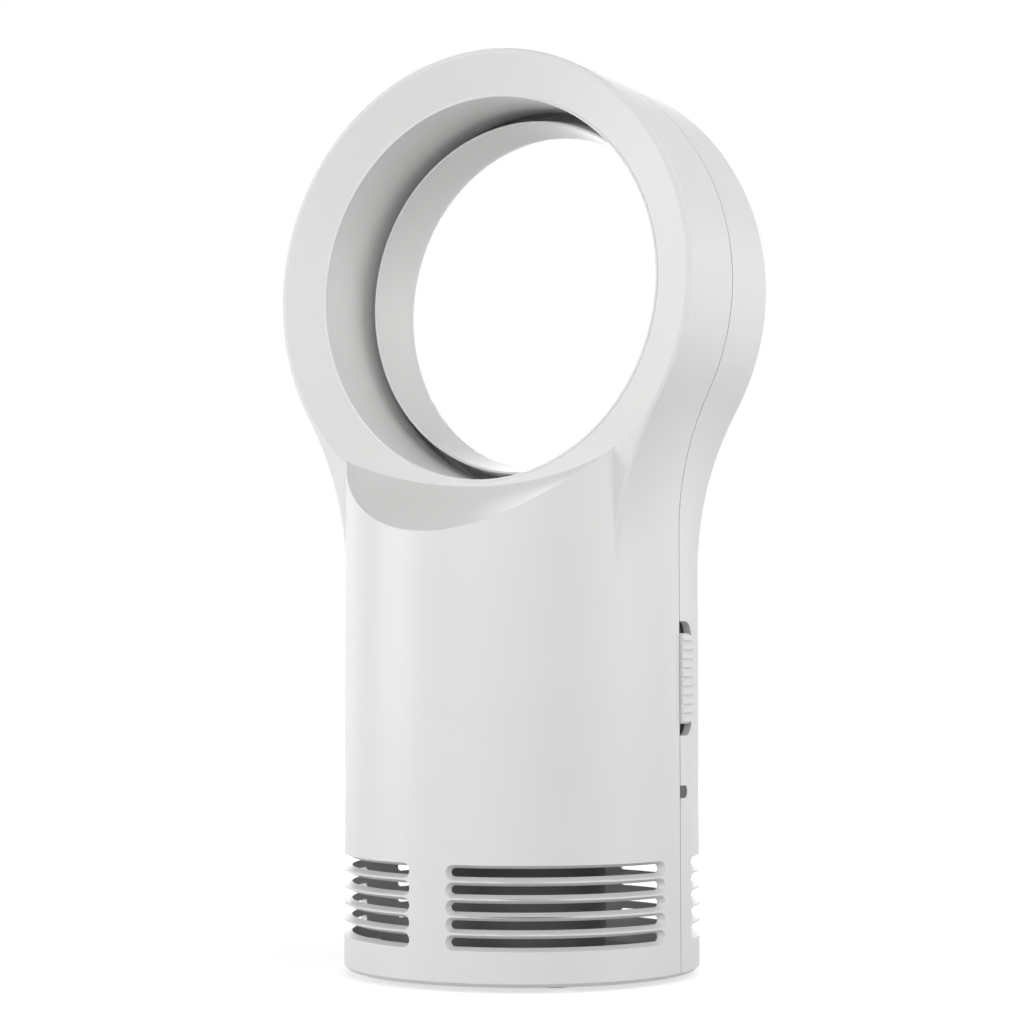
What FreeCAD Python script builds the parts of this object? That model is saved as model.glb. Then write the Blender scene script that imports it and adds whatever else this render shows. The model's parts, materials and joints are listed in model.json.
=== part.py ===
import FreeCAD, Part
import math
import os
import re
import Sketcher
from FreeCAD import Placement, Rotation, Vector

# Bladeless space heater: a round column that holds the fan and the heater, under an upright air ring.
# Millimetres. The column's axis is Z, the floor is z = 0, the front is -Y and the shells part at y = 0.

doc = FreeCAD.newDocument("bladeless_heater")

# Driving dimensions, each written once.
SIZES = {
    # Column
    "body_radius": 50.0,
    "wall": 2.2,
    "foot_stand": 1.5,
    "rim_chamfer": 1.0,
    "parting_groove_width": 0.45,
    "parting_groove_depth": 0.8,
    # Air ring
    "ring_centre_height": 191.4,
    "ring_radius": 66.7,
    "ring_half_depth": 25.0,
    "front_edge_round": 1.2,
    "back_edge_round": 4.0,
    "back_wall": 3.0,
    "ring_wall": 1.8,
    "dish_land": 0.4,
    "dish_depth": 4.7,
    "mouth_step": 5.35,
    "funnel_flare": 0.75,
    "funnel_reach": 9.0,
    "liner_flare": 1.5,
    "liner_rim_setback": 0.8,
    "liner_lip": 0.6,
    "liner_taper": 6.0,
    "throat_radius": 48.8,
    "throat_round": 9.0,
    # Shoulders between column and ring
    "shoulder_side_round": 82.0,
    "shoulder_front_round": 94.0,
    "shoulder_run": 4.0,
    "shoulder_wall": 2.4,
    # Slanted scoop over the column's front and back
    "scoop_radius": 108.0,
    "scoop_top_height": 133.7,
    "scoop_drop": 12.1,
    # Intake slots
    "slot_height": 2.2,
    "slot_pitch": 4.58,
    "slot_first_height": 12.9,
    "slot_rows": 5,
    "slot_flare": 1.0,
    "slot_start_angle": 8.8,
    "slot_sweep_angle": 70.0,
    # Slide switch
    "switch_height": 82.35,
    "switch_notch_length": 31.3,
    "switch_notch_width": 9.2,
    "switch_notch_round": 5.0,
    "switch_travel": 3.0,
    "knob_length": 24.7,
    "knob_width": 7.9,
    "knob_gap": 0.5,
    "knob_proud": 1.0,
    "knob_ribs": 10,
    "knob_rib_depth": 0.55,
    "shutter_thickness": 1.3,
    "shutter_lap": 1.0,
    "stem_length": 4.0,
    "stem_width": 2.0,
    "stem_depth": 1.2,
    "switch_length": 22.0,
    "switch_width": 6.4,
    "switch_depth": 4.0,
    # Indicator
    "lamp_height": 51.4,
    "lamp_notch_height": 3.4,
    "lamp_notch_width": 5.0,
    "lamp_radius": 1.5,
    # Control board
    "board_setback": 10.0,
    "board_thickness": 1.6,
    "board_edge": 1.0,
    "board_width": 17.0,
    "board_bottom": 48.2,
    "board_top": 98.0,
    "board_boss_radius": 2.5,
    "board_boss_inset": 3.0,
    "board_boss_drop": 5.0,
    "board_screw_length": 5.5,
    # Screws
    "screw_radius": 1.45,
    "screw_head_radius": 2.8,
    "screw_head_height": 2.0,
    "small_screw_radius": 1.2,
    "small_screw_head_radius": 2.2,
    "small_screw_head_height": 1.4,
    "screw_clearance": 0.05,
    "fit_clearance": 0.1,
    "deck_clearance": 0.5,
    "seat_clearance": 0.3,
    # Screw posts that join the shells
    "post_radius": 4.0,
    "post_inset": 14.0,
    "post_low_height": 43.0,
    "post_high_height": 113.0,
    "post_floor": 6.0,
    "shell_screw_length": 18.0,
    # Base
    "base_thickness": 2.5,
    "base_boss_radius": 4.2,
    "base_boss_inset": 5.45,
    "base_screw_length": 7.0,
    "foot_radius": 6.0,
    "foot_sink": 1.2,
    "foot_inset": 8.5,
    # Intake filter
    "filter_gap": 0.5,
    "filter_wall": 2.5,
    # Fan
    "ledge_width": 3.0,
    "ledge_thickness": 1.8,
    "flange_height": 36.0,
    "flange_thickness": 2.0,
    "inlet_radius": 21.0,
    "inlet_lip": 1.8,
    "duct_wall": 1.7,
    "duct_step": 0.8,
    "duct_top": 74.0,
    "mount_height": 62.0,
    "mount_depth": 8.0,
    "mount_floor": 1.5,
    "mount_wall": 1.6,
    "mount_vanes": 7,
    "mount_vane_thickness": 1.5,
    "motor_radius": 14.0,
    "motor_length": 28.0,
    "motor_boss_radius": 3.0,
    "motor_cap_thickness": 2.5,
    "motor_screw_spacing": 8.0,
    "motor_screw_length": 5.0,
    "shaft_radius": 1.6,
    "shaft_grip": 10.0,
    "fan_gap": 0.7,
    "fan_bottom_gap": 1.0,
    "fan_top_gap": 2.0,
    "fan_hub_low_radius": 8.0,
    "fan_hub_high_radius": 15.0,
    "fan_blades": 9,
    "fan_blade_thickness": 1.2,
    "fan_blade_lean": 7.0,
    "fan_camber_radius": 21.0,
    # Heater
    "tray_height": 104.8,
    "tray_thickness": 2.0,
    "tray_clearance": 0.9,
    "collar_wall": 2.0,
    "heater_post_gap": 2.0,
    "heater_height": 13.0,
    "heater_side_bar": 1.5,
    "heater_bar": 3.8,
    "heater_fin_width": 9.0,
    "heater_lap": 2.0,
    "heater_seat": 0.2,
    "fin_folds": 14,
    "fin_sheet": 0.4,
    "retainer_thickness": 1.5,
    "tab_width": 6.3,
    "tab_thickness": 0.8,
    "tab_length": 8.0,
    "tab_inset": 9.8,
    "thermostat_radius": 6.5,
    "thermostat_height": 6.0,
    "thermostat_gap": 0.5,
    "fuse_radius": 1.9,
    "fuse_length": 11.0,
    "fuse_place": 30.0,
    # Mains entry
    "gland_height": 52.0,
    "gland_flange_radius": 6.4,
    "gland_flange": 1.9,
    "gland_neck_radius": 4.4,
    "gland_bore_width": 5.6,
    "gland_bore_height": 3.6,
    "gland_collar": 2.0,
    "gland_sink": 0.5,
    "gland_pad": 2.4,
    "gland_pad_radius": 9.0,
    "terminal_length": 18.0,
    "terminal_width": 9.0,
    "terminal_height": 9.0,
    "terminal_gap": 0.9,
}

sheet = doc.addObject("Spreadsheet::Sheet", "dims")
for row, (alias, value) in enumerate(SIZES.items(), start=1):
    sheet.set(f"A{row}", alias)
    sheet.set(f"B{row}", str(value))
    sheet.setAlias(f"B{row}", alias)
doc.recompute()

# Lengths that follow from the driving ones, written as formulas of the sheet.
FRONT_PLANE = "(0 - ring_half_depth)"
FRONT_ROUND_PLANE = "(front_edge_round - ring_half_depth)"
BACK_ROUND_PLANE = "(ring_half_depth - back_edge_round)"
CAVITY_FRONT = "(wall - ring_half_depth)"
CAVITY_BACK = "(ring_half_depth - back_wall)"
CAVITY_RADIUS = "(body_radius - wall)"
FRONT_HALF_WIDTH = "sqrt(body_radius^2 - ring_half_depth^2)"
SHOULDER_BASE = (
    "(ring_centre_height - shoulder_run - sqrt((ring_radius + shoulder_front_round)^2"
    f" - ({FRONT_HALF_WIDTH} + shoulder_front_round)^2))"
)
SCOOP_SLOPE = "(scoop_drop / (body_radius - ring_half_depth))"
SCOOP_STRETCH = f"sqrt(1 + {SCOOP_SLOPE}^2)"
MOUTH_RADIUS = "(throat_radius + mouth_step)"
FUNNEL_RADIUS = f"({MOUTH_RADIUS} + funnel_flare)"
LINER_RADIUS = "(throat_radius + liner_flare)"
COLUMN_TOP = "(scoop_top_height + 2 * scoop_drop)"
POST_SIDE = "(body_radius - post_inset)"
BASE_BOSS_SIDE = "((body_radius - base_boss_inset) / sqrt(2))"
FOOT_SIDE = f"({BASE_BOSS_SIDE} - foot_inset)"
BOARD_FACE = "(body_radius - board_setback)"
DUCT_RADIUS = f"({POST_SIDE} - post_radius - deck_clearance)"
BASE_TOP = "(foot_stand + base_thickness)"
BASE_SCREW_SEAT = "(foot_stand + small_screw_head_height)"
BASE_BOSS_TOP = f"({BASE_SCREW_SEAT} + base_screw_length + fit_clearance)"
DUCT_BORE = f"({DUCT_RADIUS} - duct_wall)"
FAN_BOTTOM = "(flange_height + flange_thickness + duct_wall + fan_bottom_gap)"
FAN_TOP = "(mount_height - mount_floor - fan_top_gap)"
FAN_RADIUS = f"({DUCT_BORE} - duct_step - fan_gap)"
MOTOR_TOP = "(mount_height + motor_length)"
TRAY_TOP = "(tray_height + tray_thickness)"
FIN_PACKS = 3
HEATING_BARS = FIN_PACKS - 1
HEATER_WIDTH = f"(2 * heater_side_bar + {HEATING_BARS} * heater_bar + {FIN_PACKS} * heater_fin_width)"
HEATER_LENGTH = f"(2 * ({POST_SIDE} - post_radius - heater_post_gap - collar_wall - heater_seat))"
HEATER_TOP = f"({TRAY_TOP} + heater_height)"
BOARD_BACK = f"({BOARD_FACE} - board_thickness)"
FAR = "(3 * body_radius)"


def in_sheet(formula):
    """Prefix the names of driving dimensions so that an expression finds them in the sheet."""
    def prefix(word):
        return "dims." + word.group() if word.group() in SIZES else word.group()
    return re.sub(r"[a-z]\w*", prefix, str(formula))


gauge = doc.addObject("App::FeaturePython", "gauge")
gauge.addProperty("App::PropertyFloat", "reading")


def number(formula):
    """Value of a formula of the sheet."""
    gauge.setExpression("reading", in_sheet(formula))
    gauge.recompute()
    return gauge.reading


def bind(thing, **formulas):
    for name, formula in formulas.items():
        thing.setExpression(name.replace("__", "."), in_sheet(formula))
    return thing


def move(thing, x="0", y="0", z="0"):
    return bind(thing, Placement__Base__x=x, Placement__Base__y=y, Placement__Base__z=z)


# Plain solids and how they are joined or cut. Small or hidden round pieces have this many flat sides.
SCREW_SIDES = 12
FOOT_SIDES = 24
FILTER_SIDES = 24
SLOT_END_SIDES = 6

AXIS_TURN = {
    "X": Rotation(Vector(0, 1, 0), 90),
    "Y": Rotation(Vector(1, 0, 0), -90),
    "Z": Rotation(),
}


def block(name, x, y, z):
    """Box between two formulas along each axis."""
    solid = doc.addObject("Part::Box", name)
    bind(solid, Length=f"{x[1]} - ({x[0]})", Width=f"{y[1]} - ({y[0]})", Height=f"{z[1]} - ({z[0]})")
    return move(solid, x[0], y[0], z[0])


def rod(name, axis, radius, span, x="0", y="0", z="0", sides=None):
    """Cylinder, or a prism with that many sides, between the two formulas of span along an axis."""
    solid = doc.addObject("Part::Prism" if sides else "Part::Cylinder", name)
    solid.Placement = Placement(Vector(), AXIS_TURN[axis])
    bind(solid, Height=f"{span[1]} - ({span[0]})")
    if sides:
        solid.Polygon = sides
        bind(solid, Circumradius=radius)
    else:
        bind(solid, Radius=radius)
    place = {"X": x, "Y": y, "Z": z}
    place[axis] = span[0]
    return move(solid, place["X"], place["Y"], place["Z"])


def fuse(name, *shapes):
    solid = doc.addObject("Part::MultiFuse", name)
    solid.Shapes = list(shapes)
    return solid


def common(name, first, second):
    solid = doc.addObject("Part::Common", name)
    solid.Base = first
    solid.Tool = second
    return solid


def cut(name, base, *tools):
    solid = doc.addObject("Part::Cut", name)
    solid.Base = base
    solid.Tool = tools[0] if len(tools) == 1 else fuse(name + "_tools", *tools)
    return solid


def together(name, *shapes):
    """Separate solids of one kind, kept as one node."""
    group = doc.addObject("Part::Compound", name)
    group.Links = list(shapes)
    return group


def mirror(name, source, normal):
    image = doc.addObject("Part::Mirroring", name)
    image.Source = source
    image.Normal = normal
    return image


# Sketches: every corner is held by two distances and every arc by its radius.

PLANE_TURN = {
    "XY": Rotation(),
    "XZ": Rotation(Vector(1, 0, 0), 90),
    "YZ": Rotation(Vector(1, 1, 1), 120),
}


def arc_edge(start, end, radius, turn):
    """Arc from start to end; turn is +1 with the centre on the left of the way, -1 on the right."""
    chord = end - start
    middle = (start + end) / 2
    rise = math.sqrt(max(radius ** 2 - (chord.Length / 2) ** 2, 0))
    left = Vector(-chord.y, chord.x, 0).normalize()
    centre = middle + left * rise * turn
    first, last = (start, end) if turn > 0 else (end, start)
    angles = [math.atan2(point.y - centre.y, point.x - centre.x) for point in (first, last)]
    circle = Part.Circle(centre, Vector(0, 0, 1), radius)
    return Part.ArcOfCircle(circle, angles[0], angles[1])


def outline(sketch, corners, arcs=None):
    """Close a loop through corner formulas; arcs maps a side's index to its radius formula and turn."""
    arcs = arcs or {}
    points = [Vector(number(x), number(y), 0) for x, y in corners]
    ends = []
    for side, start in enumerate(points):
        end = points[(side + 1) % len(points)]
        if side in arcs:
            radius, turn = arcs[side]
            index = sketch.addGeometry(arc_edge(start, end, number(radius), turn))
            ends.append((index, 1, 2) if turn > 0 else (index, 2, 1))
            held = sketch.addConstraint(Sketcher.Constraint("Radius", index, number(radius)))
            sketch.setExpression(f"Constraints[{held}]", in_sheet(radius))
        else:
            ends.append((sketch.addGeometry(Part.LineSegment(start, end)), 1, 2))
    for side, (index, first, last) in enumerate(ends):
        after = ends[(side + 1) % len(ends)]
        sketch.addConstraint(Sketcher.Constraint("Coincident", index, last, after[0], after[1]))
    for (index, first, last), point, corner in zip(ends, points, corners):
        for kind, reach, formula in (("DistanceX", point.x, corner[0]), ("DistanceY", point.y, corner[1])):
            held = sketch.addConstraint(Sketcher.Constraint(kind, -1, 1, index, first, reach))
            sketch.setExpression(f"Constraints[{held}]", in_sheet(formula))
    return sketch


def drawing(name, plane, corners, arcs=None, x="0", y="0", z="0"):
    """Sketch outside a body, on a plane that is moved to a place."""
    sketch = doc.addObject("Sketcher::SketchObject", name)
    sketch.Placement = Placement(Vector(), PLANE_TURN[plane])
    move(sketch, x, y, z)
    return outline(sketch, corners, arcs)


def loft(name, sections, ruled=False):
    solid = doc.addObject("Part::Loft", name)
    solid.Sections = sections
    solid.Solid = True
    solid.Ruled = ruled
    return solid


def spin(name, sketch, axis, angle="360", z="0"):
    """Revolve a drawing about an axis parallel to X, Y or Z at a height."""
    solid = doc.addObject("Part::Revolution", name)
    solid.Source = sketch
    solid.Axis = axis
    solid.Solid = True
    return bind(solid, Angle=angle, Base__z=z)


def sweep_straight(name, sketch, direction, length):
    solid = doc.addObject("Part::Extrusion", name)
    solid.Base = sketch
    solid.DirMode = "Custom"
    solid.Dir = direction
    solid.Solid = True
    return bind(solid, LengthFwd=length)


# Turned and padded pieces

def new_body(label):
    made = doc.addObject("PartDesign::Body", label)
    made.Label = label
    return made


def origin_plane(body, role):
    return next(item for item in body.Origin.OriginFeatures if item.Role == role)


def body_sketch(body, name, plane, corners, arcs=None, lift="0"):
    sketch = body.newObject("Sketcher::SketchObject", name)
    sketch.AttachmentSupport = [(origin_plane(body, plane + "_Plane"), "")]
    sketch.MapMode = "FlatFace"
    sketch.setExpression("AttachmentOffset.Base.z", in_sheet(lift))
    return outline(sketch, corners, arcs)


def revolve_in_body(body, name, sketch, axis_role="Z_Axis"):
    feature = body.newObject("PartDesign::Revolution", name)
    feature.Profile = sketch
    feature.ReferenceAxis = (origin_plane(body, axis_role), [""])
    feature.Angle = 360
    return feature


def pad_in_body(body, name, sketch, length, reversed_way=False):
    feature = body.newObject("PartDesign::Pad", name)
    feature.Profile = sketch
    feature.Reversed = reversed_way
    return bind(feature, Length=length)


def polar_in_body(body, name, originals, count):
    feature = body.newObject("PartDesign::PolarPattern", name)
    feature.Originals = originals
    feature.Axis = (origin_plane(body, "Z_Axis"), [""])
    feature.Angle = 360
    bind(feature, Occurrences=count)
    body.Tip = feature
    return feature


def rectangle(x, y):
    return [(x[0], y[0]), (x[1], y[0]), (x[1], y[1]), (x[0], y[1])]


# Outer form of the two shells; its round edges are stepped in this many straight bands.

FRONT_EDGE_STEPS = 2
BACK_EDGE_STEPS = 3


def head_section(name, y, inset, bottom="foot_stand"):
    """Outline of ring and shoulders across Y: ring arc, two hollow shoulder arcs and two upright sides."""
    half = f"(sqrt(body_radius^2 - ({y})^2) - {inset})"
    ring = f"(ring_radius - {inset})"
    blend = f"(shoulder_front_round - shoulder_side_round) * (({y}) / ring_half_depth)^2"
    hollow = f"(shoulder_side_round + {blend} + {inset})"
    reach = f"({ring} + {hollow})"
    fall = f"sqrt({reach}^2 - ({half} + {hollow})^2)"
    touch_x = f"({ring} * ({half} + {hollow}) / {reach})"
    touch_z = f"(ring_centre_height - {ring} * {fall} / {reach})"
    start_z = f"(ring_centre_height - {fall})"
    corners = [
        (half, bottom),
        (half, start_z),
        (touch_x, touch_z),
        ("0", f"ring_centre_height + {ring}"),
        (f"0 - {touch_x}", touch_z),
        (f"0 - {half}", start_z),
        (f"0 - {half}", bottom),
    ]
    arcs = {1: (hollow, -1), 2: (ring, 1), 3: (ring, 1), 4: (hollow, -1)}
    return drawing(name, "XZ", corners, arcs, y=y)


def edge_sections(name, plane, way, radius, steps):
    """Sections of a quarter-round edge that starts at a plane and ends at the ring's flat face."""
    sections = []
    for step in range(1, steps + 1):
        turn = 90 * step / steps
        y = f"({plane} + ({way}) * {radius} * sin({turn}))"
        sections.append(head_section(f"{name}_{step}", y, f"{radius} * (1 - cos({turn}))"))
    return sections


def scoop_cutter(name, way, inset="0"):
    """Slanted cylinder that hollows the column's top in front (way -1) or behind (way +1)."""
    cutter = doc.addObject("Part::Cylinder", name)
    cutter.Placement = Placement(Vector(), Rotation(Vector(1, 0, 0), 90))
    bind(cutter, Radius=f"scoop_radius + {inset}", Height=FAR)
    bind(cutter, Placement__Rotation__Angle=f"{-way} * (90 deg + atan({SCOOP_SLOPE}))")
    centre = f"scoop_top_height + scoop_radius * {SCOOP_STRETCH}"
    back_off = f"({-way}) * (body_radius - ring_half_depth)"
    return move(cutter, y=back_off, z=f"{centre} + {SCOOP_SLOPE} * body_radius")


def half_space(name, y_low, y_high):
    upright = ("0 - body_radius", f"ring_centre_height + {FAR}")
    return block(name, (f"0 - {FAR}", FAR), (y_low, y_high), upright)


def front_dish():
    """Hollow of the ring's front face: a shallow cone down to the mouth's edge."""
    rim = "(ring_radius - front_edge_round - dish_land)"
    corners = [
        (FRONT_PLANE, "ring_centre_height"),
        (FRONT_PLANE, f"ring_centre_height + {rim}"),
        (f"{FRONT_PLANE} + dish_depth", f"ring_centre_height + {MOUTH_RADIUS}"),
        (f"{FRONT_PLANE} + dish_depth", "ring_centre_height"),
    ]
    return spin("dish", drawing("dish_profile", "YZ", corners), Vector(0, 1, 0), z="ring_centre_height")


def back_round():
    """Hollow of the ring's back: the liner's throat opens out to the flat back."""
    corners = [
        ("ring_half_depth", "ring_centre_height"),
        ("ring_half_depth", "ring_centre_height + throat_radius + throat_round"),
        ("ring_half_depth - throat_round", "ring_centre_height + throat_radius"),
        ("ring_half_depth - throat_round", "ring_centre_height"),
    ]
    arcs = {1: ("throat_round", -1)}
    return spin("bell", drawing("bell_profile", "YZ", corners, arcs), Vector(0, 1, 0), z="ring_centre_height")


def outer_form():
    """Solid outer form: column with its scooped top, shoulders and ring.

    The column's middle is part of the slab that carries the ring, so that its sides flow into the shoulders.
    """
    column = rod("column", "Z", "body_radius", ("foot_stand", COLUMN_TOP))
    seat = half_space("slab_seat", FRONT_ROUND_PLANE, BACK_ROUND_PLANE)
    planes = [FRONT_ROUND_PLANE, "0 - ring_half_depth / 2", "0", "ring_half_depth / 2", BACK_ROUND_PLANE]
    slab = [head_section(f"slab_{i}", y, "0") for i, y in enumerate(planes)]
    front = edge_sections("front_edge", FRONT_ROUND_PLANE, "-1", "front_edge_round", FRONT_EDGE_STEPS)
    back = edge_sections("back_edge", BACK_ROUND_PLANE, "1", "back_edge_round", BACK_EDGE_STEPS)
    blank = fuse("outer_blank", cut("column_sides", column, seat), loft("slab", slab),
                 loft("front_edge", [slab[0]] + front, ruled=True),
                 loft("back_edge", [slab[-1]] + back, ruled=True))
    outside = "body_radius + rim_chamfer"
    rim = [("body_radius - rim_chamfer", "foot_stand"), (outside, "foot_stand - rim_chamfer"),
           (outside, "foot_stand + 2 * rim_chamfer")]
    whole = cut("outer_whole", blank, spin("rim", drawing("rim_profile", "XZ", rim), Vector(0, 0, 1)))
    ahead = fuse("front_air", half_space("front_side", f"0 - {FAR}", FRONT_PLANE), front_dish())
    behind = fuse("back_air", half_space("back_side", "ring_half_depth", FAR), back_round())
    return cut("outer", whole, common("front_scoop", scoop_cutter("front_scoop_rod", -1), ahead),
               common("back_scoop", scoop_cutter("back_scoop_rod", 1), behind))


def cavity():
    """Inside of the shells: one room through column, shoulders and ring."""
    column = rod("room_column", "Z", CAVITY_RADIUS, ("0 - foot_stand", COLUMN_TOP))
    seat = block("room_seat", (f"0 - {FAR}", FAR), (CAVITY_FRONT, CAVITY_BACK),
                 (SHOULDER_BASE, f"{COLUMN_TOP} + wall"))
    front = common("room_front_scoop", scoop_cutter("room_front_rod", -1, "wall"),
                   half_space("room_front_side", f"0 - {FAR}", CAVITY_FRONT))
    back = common("room_back_scoop", scoop_cutter("room_back_rod", 1, "wall"),
                  half_space("room_back_side", CAVITY_BACK, FAR))
    planes = [CAVITY_FRONT, "0 - ring_half_depth / 2", "0", "ring_half_depth / 2", CAVITY_BACK]
    sections = [head_section(f"room_{i}", y, "shoulder_wall", SHOULDER_BASE) for i, y in enumerate(planes)]
    return fuse("room", cut("room_base", column, seat, front, back), loft("room_head", sections, ruled=True))


def ring_walls():
    """Walls that stay standing in the room: the funnel behind the mouth and the liner of the throat."""
    rim = "(ring_radius - front_edge_round - dish_land)"
    axis = "ring_centre_height + "
    dish_floor = f"{FRONT_PLANE} + dish_depth"
    funnel = [
        (FRONT_PLANE, axis + rim),
        (FRONT_PLANE, axis + MOUTH_RADIUS),
        (dish_floor, axis + MOUTH_RADIUS),
        ("funnel_reach", axis + FUNNEL_RADIUS),
        ("funnel_reach", f"{axis} {FUNNEL_RADIUS} + ring_wall"),
        (f"{dish_floor} + ring_wall", f"{axis} {FUNNEL_RADIUS} + ring_wall"),
        (f"{FRONT_PLANE} + ring_wall", axis + rim),
    ]
    liner = [
        ("liner_rim_setback", axis + LINER_RADIUS),
        ("ring_half_depth - throat_round", axis + "throat_radius"),
        ("ring_half_depth", axis + "throat_radius"),
        ("ring_half_depth", axis + "throat_radius + throat_round"),
        ("ring_half_depth - ring_wall", axis + "throat_radius + throat_round"),
        ("ring_half_depth - throat_round", f"{axis} {LINER_RADIUS} + ring_wall"),
        ("liner_rim_setback + liner_taper", f"{axis} {LINER_RADIUS} + ring_wall"),
        ("liner_rim_setback", f"{axis} {LINER_RADIUS} + liner_lip"),
    ]
    way = Vector(0, 1, 0)
    front = spin("funnel", drawing("funnel_profile", "YZ", funnel), way, z="ring_centre_height")
    back = spin("liner", drawing("liner_profile", "YZ", liner), way, z="ring_centre_height")
    return front, back


def ledge(name, top):
    """Ring inside the column that carries a round deck."""
    span = (f"{top} - ledge_thickness", top)
    return cut(name, rod(name + "_outside", "Z", f"{CAVITY_RADIUS} + wall / 2", span),
               rod(name + "_inside", "Z", f"{CAVITY_RADIUS} - ledge_width", span))


POSTS = [(side, height) for side in (POST_SIDE, f"0 - {POST_SIDE}")
         for height in ("post_low_height", "post_high_height")]
CORNERS = [(x, y) for x in ("1", "-1") for y in ("1", "-1")]


def post_rods(name, radius, span, sides=SCREW_SIDES):
    return [rod(f"{name}_{i}", "Y", radius, span, x=x, z=z, sides=sides) for i, (x, z) in enumerate(POSTS)]


def corner_rods(name, radius, span, side, keep=("1", "-1"), sides=SCREW_SIDES):
    return [rod(f"{name}_{i}", "Z", radius, span, x=f"{x} * {side}", y=f"{y} * {side}", sides=sides)
            for i, (x, y) in enumerate(CORNERS) if y in keep]


SLOT_ROOT = f"({CAVITY_RADIUS} - fit_clearance)"
SLOT_MOUTH = "(body_radius + fit_clearance)"
SLOT_HALF = "(slot_height / 2)"
SLOT_WIDE = "(slot_height / 2 + slot_flare)"


def slot_tool():
    """Slots of one quarter: each an arc of a ring that opens out through the wall, with rounded ends."""
    tool = new_body("slot_tool")
    across = tool.newObject("Sketcher::SketchObject", "slot_across")
    across.AttachmentSupport = [(origin_plane(tool, "XZ_Plane"), "")]
    across.MapMode = "FlatFace"
    across.setExpression("AttachmentOffset.Base.y", in_sheet("slot_first_height"))
    outline(across, [(SLOT_ROOT, f"0 - {SLOT_HALF}"), (SLOT_MOUTH, f"0 - {SLOT_WIDE}"),
                     (SLOT_MOUTH, SLOT_WIDE), (SLOT_ROOT, SLOT_HALF)])
    run = bind(revolve_in_body(tool, "slot_run", across), Angle="slot_sweep_angle")
    ends = [slot_end(tool, "slot_first_end", "0", -1), slot_end(tool, "slot_last_end", "slot_sweep_angle", 1)]
    rows = tool.newObject("PartDesign::LinearPattern", "slot_rows")
    rows.Originals = [run] + ends
    rows.Direction = (origin_plane(tool, "Z_Axis"), [""])
    bind(rows, Length="(slot_rows - 1) * slot_pitch", Occurrences="slot_rows")
    tool.Tip = rows
    tool.Placement = Placement(Vector(), Rotation(Vector(0, 0, 1), 0))
    return bind(tool, Placement__Rotation__Angle="slot_start_angle - 90")


def slot_end(tool, name, angle, way):
    """Rounded end of a slot, lofted from root to mouth on two planes square to the column's radius."""
    sections = []
    for place, reach, size in (("root", SLOT_ROOT, SLOT_HALF), ("mouth", SLOT_MOUTH, SLOT_WIDE)):
        sketch = tool.newObject("Sketcher::SketchObject", f"{name}_{place}")
        sketch.AttachmentSupport = [(origin_plane(tool, "YZ_Plane"), "")]
        sketch.MapMode = "FlatFace"
        sketch.AttachmentOffset = Placement(Vector(), Rotation(Vector(0, 1, 0), 1))
        bind(sketch, AttachmentOffset__Base__x=f"{reach} * sin({angle})",
             AttachmentOffset__Base__y="slot_first_height",
             AttachmentOffset__Base__z=f"{reach} * cos({angle})",
             AttachmentOffset__Rotation__Angle=angle)
        turns = [180 * step / SLOT_END_SIDES - 90 for step in range(SLOT_END_SIDES + 1)]
        corners = [(f"({way}) * {size} * cos({turn})", f"{size} * sin({turn})") for turn in turns]
        sections.append(outline(sketch, corners))
    end = tool.newObject("PartDesign::AdditiveLoft", name)
    end.Profile = sections[0]
    end.Sections = [sections[1]]
    end.Ruled = True
    return end


KNOB_MIDDLE = "(knob_gap + knob_width / 2)"
KNOB_ROUND = "(switch_notch_round - (switch_notch_width - knob_gap - knob_width))"
SHUTTER_OUTER = f"({CAVITY_RADIUS} - seat_clearance)"
SHUTTER_INNER = f"({SHUTTER_OUTER} - shutter_thickness)"
SIDE_START = "(body_radius - 3 * wall)"
SIDE_LENGTH = "(6 * wall)"


def side_notch(name, height, length, low, high, corner):
    """Plug along X with two round corners towards the back, for a notch or what fills it."""
    bottom = f"({height} - {length} / 2)"
    top = f"({height} + {length} / 2)"
    corners = [
        (low, bottom), (f"{high} - {corner}", bottom), (high, f"{bottom} + {corner}"),
        (high, f"{top} - {corner}"), (f"{high} - {corner}", top), (low, top),
    ]
    arcs = {1: (corner, 1), 3: (corner, 1)}
    sketch = drawing(name + "_profile", "YZ", corners, arcs, x=SIDE_START)
    return sweep_straight(name, sketch, Vector(1, 0, 0), SIDE_LENGTH)


def lamp_plug(name, clearance):
    """Plug of the indicator's notch: straight at the parting line and half round behind."""
    radius = f"(lamp_notch_height / 2 - {clearance})"
    high = f"(lamp_notch_width - {clearance})"
    corners = [
        (clearance, f"lamp_height - {radius}"), (f"{high} - {radius}", f"lamp_height - {radius}"),
        (high, "lamp_height"), (f"{high} - {radius}", f"lamp_height + {radius}"),
        (clearance, f"lamp_height + {radius}"),
    ]
    sketch = drawing(name + "_profile", "YZ", corners, {1: (radius, 1), 2: (radius, 1)}, x=SIDE_START)
    return sweep_straight(name, sketch, Vector(1, 0, 0), SIDE_LENGTH)


BOARD_BOSSES = [
    ("board_edge + board_width - board_boss_inset", "board_bottom + board_boss_drop"),
    ("board_edge + board_width - board_boss_inset", "board_top - board_boss_drop"),
]


def board_rods(name, radius, span):
    return [rod(f"{name}_{i}", "X", radius, span, y=y, z=z, sides=SCREW_SIDES)
            for i, (y, z) in enumerate(BOARD_BOSSES)]


GLAND_SEAT = "(body_radius - gland_sink - gland_flange)"
GLAND_BACK = f"({CAVITY_RADIUS} - gland_pad)"
PILOT = "(screw_radius + screw_clearance)"
SMALL_PILOT = "(small_screw_radius + screw_clearance)"


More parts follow.
